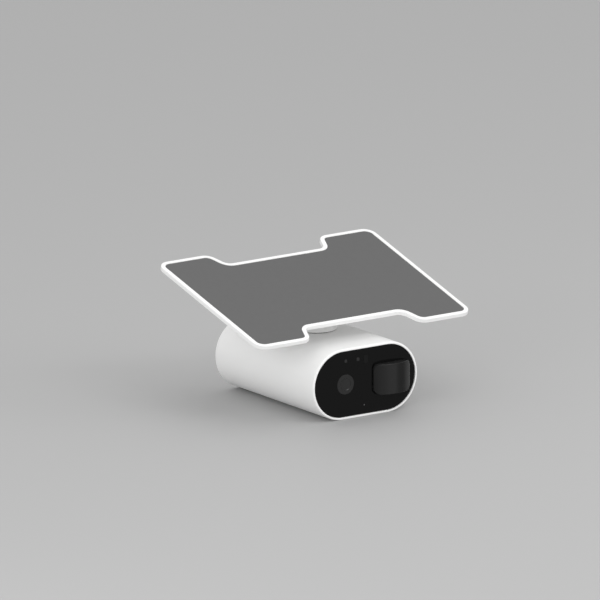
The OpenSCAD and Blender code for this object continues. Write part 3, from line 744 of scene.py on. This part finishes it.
class CAMERA_OT_casing(bpy.types.Operator):
    """Make the white casing"""

    bl_idname = "solar_camera.casing"
    bl_label = "Casing"

    def execute(self, context):
        maker = context.scene.camera_maker
        sizes = maker.casing
        steps = maker.arc_steps
        cavity = CASING_R - sizes.wall
        pocket = CASING_R - sizes.rim
        pocket_y = FRONT_Y + sizes.pocket
        shelf_y = pocket_y + SHELF
        outer = rounded_profile(
            [(cavity + LIP, SEAM_Y), (CASING_R, SEAM_Y), (CASING_R, FRONT_Y), (pocket, FRONT_Y),
             (pocket, pocket_y)],
            [0, sizes.seam, sizes.edge, POCKET_EDGE, 0], steps=7)
        inner = [(sizes.ledge, pocket_y), (sizes.ledge, shelf_y), (cavity, shelf_y), (cavity, SEAM_Y)]
        around = swept(np.concatenate([outer, inner]), lambda radius, y: stadium_ring(radius, y, steps))

        # The two long steps, outside and inside, are open over the upper and the lower flat, where
        # a face with a bore goes in
        split = int(np.argmax(np.diff(-outer[:, 1])))
        long_outer = (split, split + 1)
        long_inner = (len(around) - 2, len(around) - 1)
        flats = (steps + 1, 2 * steps + 4)
        skin = Skin()
        skin.strip(around[long_outer[1]:long_inner[0] + 1])
        skin.strip(np.concatenate([around[long_inner[1]:], around[:long_outer[0] + 1]]))
        for step in (long_outer, long_inner):
            skin.strip(around[list(step)], skip=flats)

        bores = []
        for side, radius in ((1, sizes.spindle), (-1, sizes.insert)):
            outside = AXIS_Z + side * CASING_R
            inside = AXIS_Z + side * cavity
            bore = rounded_profile(
                [(radius + LIP, outside), (radius, outside), (radius, inside), (radius + LIP, inside)],
                [0, BORE_EDGE, 0, 0], steps=4)
            bores.append(swept(bore, lambda reach, z: circle_ring((0, 0, z), reach, "Z", 64)))
        for step, level in ((long_outer, 0), (long_inner, -1)):
            for column, bore in zip(flats, bores):
                near, far = around[list(step)][:, [column, (column + 1) % around.shape[1]]]
                skin.flat([near[0], near[1], far[1], far[0]], [bore[level]])
        for bore in bores:
            skin.strip(bore)
        skin.make("casing_shell", "casing", ["main_housing"], finish_of(context, "main_housing"))
        return {"FINISHED"}


class CAMERA_OT_front(bpy.types.Operator):
    """Make the black front plate with its openings"""

    bl_idname = "solar_camera.front"
    bl_label = "Front plate"

    def execute(self, context):
        maker = context.scene.camera_maker
        sizes = maker.front
        back_y = PLATE_Y + sizes.thickness
        outer = rounded_profile(
            [(PLATE_R - LIP, PLATE_Y), (PLATE_R, PLATE_Y), (PLATE_R, back_y), (PLATE_R - LIP, back_y)],
            [0, sizes.edge, 0.1 * MM, 0])
        around = swept(outer, lambda radius, y: stadium_ring(radius, y, maker.arc_steps))
        opening = rounded_profile(
            [(0.4 * MM, PLATE_Y), (0, PLATE_Y), (0, back_y), (0.4 * MM, back_y)],
            [0, sizes.hole_edge, 0, 0], steps=3, support=0.04 * MM)
        holes = []
        for node in ("lens_window", "status_window", "light_sensor_window"):
            centre, radius = round_place(node)
            holes.append(turned(opening + [radius + WINDOW_GAP, 0], centre, 40))
        centre, _ = round_place("mic_boot")
        holes.append(turned(opening + [sizes.sound_hole, 0], centre, 20))
        low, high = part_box("ir_window")
        span = high - low
        holes.append(oblong_opening(
            opening, (low + high) / 2, span.x + 2 * WINDOW_GAP, span.z + 2 * WINDOW_GAP, 0.3 * MM, 3))
        centre, _ = round_place("pir_lens")
        holes.append(oblong_opening(
            opening, centre, sizes.sensor_w + 2 * SENSOR_GAP, sizes.sensor_h + 2 * SENSOR_GAP,
            sizes.sensor_corner + SENSOR_GAP))
        skin = Skin()
        for rings in (around, *holes):
            skin.strip(rings)
        skin.flat(around[0], [rings[0] for rings in holes])
        skin.flat(around[-1], [rings[-1] for rings in holes])
        skin.make("plate", "casing", ["front_plate"], finish_of(context, "front_plate"))
        return {"FINISHED"}


class CAMERA_OT_windows(bpy.types.Operator):
    """Make the lens window, the small windows and the gauze of the microphone"""

    bl_idname = "solar_camera.windows"
    bl_label = "Windows"

    def execute(self, context):
        self.lens_window(context)
        for node in ("status_window", "light_sensor_window"):
            self.small_window(context, node)
        self.gauze(context)
        return {"FINISHED"}

    def lens_window(self, context):
        """Dished glass: a flat middle, a short slope up to a raised ring, and a round edge."""
        low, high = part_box("lens_window")
        centre, radius = round_place("lens_window")
        inner = 1.2 * MM
        ring_y = low.y + 0.02 * MM
        profile = rounded_profile(
            [(inner, low.y + 0.33 * MM), (4.1 * MM, low.y + 0.3 * MM), (4.5 * MM, ring_y),
             (radius, ring_y), (radius, high.y), (inner, high.y)],
            [0, 0.2 * MM, 0.2 * MM, 0.15 * MM, 0, 0], steps=6, support=0.05 * MM)
        skin = Skin()
        skin.tube(turned(profile, centre, 72))
        skin.make("lens_glass", "casing", ["lens_window"], finish_of(context, "lens_window"))

    def small_window(self, context, node):
        """Flat disc with a round front edge."""
        low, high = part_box(node)
        centre, radius = round_place(node)
        inner = 0.3 * MM
        front = low.y + 0.05 * MM
        profile = rounded_profile(
            [(inner, front), (radius, front), (radius, high.y), (inner, high.y)],
            [0, 0.2 * MM, 0, 0], support=0.02 * MM)
        skin = Skin()
        skin.tube(turned(profile, centre, 32))
        skin.make(node + "_lens", "casing", [node], finish_of(context, node))

    def gauze(self, context):
        """Thin disc that closes the microphone's hole a little way in."""
        radius = context.scene.camera_maker.front.sound_hole - WINDOW_GAP
        depth = 0.2 * MM
        thickness = 0.2 * MM
        centre, _ = round_place("mic_boot")
        front = circle_ring((centre.x, PLATE_Y + depth, centre.z), radius, "Y", 24)
        skin = Skin()
        skin.tube(np.stack([front, front + [0, thickness, 0]]))
        gauze = finish_of(context, slot="steel_gauze")
        skin.make("mic_screen", "casing", [], gauze)


class CAMERA_OT_sensor(bpy.types.Operator):
    """Make the bulged lens of the motion sensor"""

    bl_idname = "solar_camera.sensor"
    bl_label = "Motion sensor lens"

    def execute(self, context):
        sizes = context.scene.camera_maker.front
        low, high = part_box("pir_lens")
        middle = (low + high) / 2
        chord = sizes.sensor_w / 2
        sag = sizes.sensor_middle - sizes.sensor_side
        bulge_r = (chord * chord + sag * sag) / (2 * sag)
        axis_y = PLATE_Y - sizes.sensor_middle + bulge_r
        plate_back = PLATE_Y + sizes.thickness

        def level(inward, y):
            """Flat oblong moved inwards, at the depth y."""
            return oblong_ring((middle.x, y, middle.z), sizes.sensor_w - 2 * inward,
                               sizes.sensor_h - 2 * inward, sizes.sensor_corner - inward, run=24)

        def bulged(inward, depth, thickness=0.0):
            """Oblong moved inwards whose points lie depth behind a cylinder about an upright line:
            y = axis_y - sqrt((bulge_r - thickness)^2 - x^2) + depth."""
            flat = level(inward, 0)
            across = flat[:, 0] - middle.x
            flat[:, 1] = axis_y - np.sqrt((bulge_r - thickness) ** 2 - across**2) + depth
            return flat

        edge = sizes.sensor_edge
        wall = sizes.sensor_wall
        rings = [bulged(edge + 0.25 * MM, 0)]
        for turn in np.linspace(0, math.pi / 2, 9):
            rings.append(bulged(edge * (1 - math.sin(turn)), edge * (1 - math.cos(turn))))
        rings += [bulged(0, edge + 0.15 * MM), level(0, plate_back), level(-FLANGE, plate_back),
                  level(-FLANGE, high.y), level(wall, high.y), level(wall, PLATE_Y), bulged(wall, 0, wall)]
        skin = Skin()
        skin.strip(np.stack(rings))
        skin.ladder(rings[0])
        skin.ladder(rings[-1])
        skin.make("sensor_dome", "casing", ["pir_lens"], finish_of(context, "pir_lens"))
        return {"FINISHED"}


class CAMERA_OT_panel(bpy.types.Operator):
    """Make the panel's white tray and its grey face"""

    bl_idname = "solar_camera.panel"
    bl_label = "Solar panel"

    def execute(self, context):
        sizes = context.scene.camera_maker.panel
        top = sizes.rise
        under = top - sizes.thickness
        floor = under + sizes.floor
        border = sizes.border

        def outline(inward, height):
            """The panel's outline, moved inwards, at a height above the tilt axis."""
            return panel_ring(sizes, HALF_PANEL, inward, height)

        def pad_outline(inward, height):
            """Round-cornered oblong about the tilt axis, laid in x and y."""
            upright = oblong_ring((0, 0, 0), PAD_W - 2 * inward, PAD_D - 2 * inward, PAD_CORNER - inward)
            return np.column_stack([upright[:, 0], upright[:, 2], np.full(len(upright), height)])

        tray = rounded_profile(
            [(4 * MM, under), (0, under), (0, top), (border, top), (border, floor),
             (border + 2 * MM, floor)],
            [0, sizes.low_edge, sizes.top_edge, 0.2 * MM, 0, 0], steps=8)
        around = swept(tray, outline)
        pad = rounded_profile(
            [(-LIP, under), (0, under), (0, under - sizes.pad), (3 * MM, under - sizes.pad)],
            [0, 0.3 * MM, 0.5 * MM, 0])
        pad_rings = swept(pad, pad_outline)
        skin = Skin()
        skin.strip(around)
        skin.strip(pad_rings)
        skin.flat(pad_rings[-1])
        skin.flat(around[0], [pad_rings[0]])
        skin.flat(around[-1])
        place = tilt_place(sizes)
        skin.make("panel_tray", "panel", ["panel_frame"], finish_of(context, "panel_frame"), place)

        face_top = top - FACE_DROP
        face_low = face_top - FACE_THICKNESS
        gap = border + FACE_GAP
        face = rounded_profile(
            [(gap + LIP, face_low), (gap, face_low), (gap, face_top), (gap + LIP, face_top)],
            [0, 0, 0.2 * MM, 0])
        skin = Skin()
        skin.tube(swept(face, outline))
        skin.make("panel_face", "panel", ["panel_cover"], finish_of(context, "panel_cover"), place)
        return {"FINISHED"}


class CAMERA_OT_lead(bpy.types.Operator):
    """Make the lead that runs from the panel through the turntable"""

    bl_idname = "solar_camera.lead"
    bl_label = "Lead"

    def execute(self, context):
        sizes = context.scene.camera_maker.panel
        low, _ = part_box("post_lead")
        radius = -low.x
        pivot = np.array(TILT_AXIS)
        start = np.array((0, 0, low.z))
        end = np.array(tilt_place(sizes) @ Vector((0, 0, sizes.rise - sizes.thickness + sizes.floor)))
        toward = (end - pivot) / np.linalg.norm(end - pivot)
        bend_start = pivot - np.array((0, 0, BEND_REACH))
        bend_end = pivot + BEND_REACH * toward
        # The path goes straight up, round a parabola about the tilt axis, and on into the pad
        below = np.linspace(0, 0.75, 4)[:, None]
        share = np.linspace(0, 1, 17)[:, None]
        above = np.linspace(1 / 32, 25 / 32, 4)[:, None]
        path = np.concatenate([
            start + below * (bend_start - start),
            bend_start * (1 - share) ** 2 + pivot * 2 * share * (1 - share) + bend_end * share**2,
            bend_end + above * (end - bend_end),
        ])
        along = np.gradient(path, axis=0)
        along /= np.linalg.norm(along, axis=1)[:, None]
        turn = (np.arange(20) * 2 * math.pi / 20)[None, :, None]
        side = np.array((1.0, 0, 0))
        other = np.cross(along, side)[:, None, :]
        skin = Skin()
        skin.tube(path[:, None, :] + radius * (np.cos(turn) * side + np.sin(turn) * other))
        piece = skin.make("lead", None, ["post_lead", "panel_lead"], finish_of(context, "post_lead"))
        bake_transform(piece)
        return {"FINISHED"}


class CAMERA_OT_fittings(bpy.types.Operator):
    """Soften the edges of the back cover, turntable, bracket, button, flap, sockets and screws"""

    bl_idname = "solar_camera.fittings"
    bl_label = "Fittings"

    def execute(self, context):
        for node, width in (
            ("rear_cover", 0.25), ("turret", 0.5), ("panel_bracket", 0.4), ("sync_button", 0.35),
            ("port_flap", 0.3), ("rear_screws", 0.12), ("bracket_screws", 0.12), ("pivot_pins", 0.25),
            ("ir_window", 0.1), ("tripod_insert", 0.25), ("usb_port", 0.1), ("card_slot", 0.15),
        ):
            slot = "infrared_pane" if node == "ir_window" else None
            softened(node, finish_of(context, node, slot), width * MM)
        return {"FINISHED"}


class CAMERA_OT_insides(bpy.types.Operator):
    """Give every other node its material"""

    bl_idname = "solar_camera.insides"
    bl_label = "Insides"

    def execute(self, context):
        for name, piece in frame["nodes"].items():
            if not piece.hide_render:
                piece.data.materials.clear()
                piece.data.materials.append(finish_of(context, name))
        return {"FINISHED"}


FLOOR_HALF = 15.0  # metres from the middle to the floor's edge
CHIP_W = 36.0  # width of the view's image, in the lens's own millimetres


def lay_floor(context, base):
    """Lays one pale square under the camera. Gloss doesn't see it, but sees the soft boxes."""
    corners = [(x * FLOOR_HALF, y * FLOOR_HALF, 0) for x, y in ((-1, -1), (1, -1), (1, 1), (-1, 1))]
    mesh = bpy.data.meshes.new("floor")
    mesh.from_pydata(corners, [], [(0, 1, 2, 3)])
    floor = bpy.data.objects.new("floor", mesh)
    context.scene.collection.objects.link(floor)
    paint = Finish("pale floor", base, 0.6, Specular_IOR_Level=0.2)
    paint.rough(paint.noise(scale=3), 0.55, 0.65)
    mesh.materials.append(paint.material)
    floor.visible_glossy = False


def hang_lights(context, stage):
    """Hangs oblong lights that face the casing's middle. Gloss sees only the mirrored ones."""
    middle = Vector((0, 0, AXIS_Z))
    for name, spot, width, height, watts, mirrored in (
        ("overhead light", (0.25, -0.3, 1.5), 1.2, 1.2, stage.key_power, True),
        ("front light", (0.0, -1.25, 1.2), 1.0, 0.3, stage.front_power, True),
        ("left light", (-1.15, -0.6, 0.35), 0.7, 0.7, stage.side_power, False),
        ("right light", (0.9, -1.0, 0.4), 0.7, 0.7, stage.side_power, False),
    ):
        lamp = bpy.data.lights.new(name, "AREA")
        lamp.energy = watts
        lamp.shape = "RECTANGLE"
        lamp.size = width
        lamp.size_y = height
        light = bpy.data.objects.new(name, lamp)
        light.location = spot
        light.rotation_euler = (middle - Vector(spot)).to_track_quat("-Z", "Y").to_euler()
        light.visible_camera = False
        light.visible_glossy = mirrored
        context.scene.collection.objects.link(light)


def place_view(context, stage):
    """Places the view far back along its direction, so far that lines stay parallel."""
    data = bpy.data.cameras.new("view")
    data.lens = stage.lens
    data.sensor_width = CHIP_W
    view = bpy.data.objects.new("view", data)
    context.scene.collection.objects.link(view)
    turn, lift = stage.azimuth, stage.elevation
    back = Vector((math.sin(turn) * math.cos(lift), -math.cos(turn) * math.cos(lift), math.sin(lift)))
    right = Vector((math.cos(turn), math.sin(turn), 0))
    up = back.cross(right)
    aim = Vector((0, PLATE_Y, AXIS_Z)) - right * stage.aside + up * stage.below
    distance = stage.frame_width * stage.lens / CHIP_W
    view.rotation_mode = "QUATERNION"
    view.rotation_quaternion = (-back).to_track_quat("-Z", "Y")
    view.location = aim + back * distance
    data.clip_end = 3 * distance
    context.scene.camera = view


class CAMERA_OT_stage(bpy.types.Operator):
    """Lay the floor, hang the lights and place the view"""

    bl_idname = "solar_camera.stage"
    bl_label = "Stage"

    def execute(self, context):
        maker = context.scene.camera_maker
        lay_floor(context, tuple(maker.finishes.floor))
        context.scene.world = soft_room(maker.stage.ambient, tuple(maker.finishes.backdrop))
        hang_lights(context, maker.stage)
        place_view(context, maker.stage)
        context.scene.view_settings.view_transform = "Standard"
        return {"FINISHED"}


STEPS = (
    CAMERA_OT_casing,
    CAMERA_OT_front,
    CAMERA_OT_windows,
    CAMERA_OT_sensor,
    CAMERA_OT_panel,
    CAMERA_OT_lead,
    CAMERA_OT_fittings,
    CAMERA_OT_insides,
    CAMERA_OT_stage,
)


class CAMERA_PT_maker(bpy.types.Panel):
    """Sidebar panel with the maker's steps"""

    bl_idname = "CAMERA_PT_maker"
    bl_label = "Solar camera"
    bl_space_type = "VIEW_3D"
    bl_region_type = "UI"
    bl_category = "Camera"

    def draw(self, context):
        for step in STEPS:
            self.layout.operator(step.bl_idname)


CLASSES = (
    CasingSizes, FrontSizes, PanelSizes, Finishes, StageSettings, CameraMaker, *STEPS, CAMERA_PT_maker
)


def register():
    """Adds the classes and the scene's settings."""
    for item in CLASSES:
        bpy.utils.register_class(item)
    bpy.types.Scene.camera_maker = PointerProperty(type=CameraMaker)


def unregister():
    """Takes the classes and the settings away again."""
    del bpy.types.Scene.camera_maker
    for item in reversed(CLASSES):
        bpy.utils.unregister_class(item)


def main():
    """Makes the whole camera, step by step."""
    register()
    for step in STEPS:
        group, name = step.bl_idname.split(".")
        getattr(getattr(bpy.ops, group), name)()


if __name__ == "__main__":
    main()
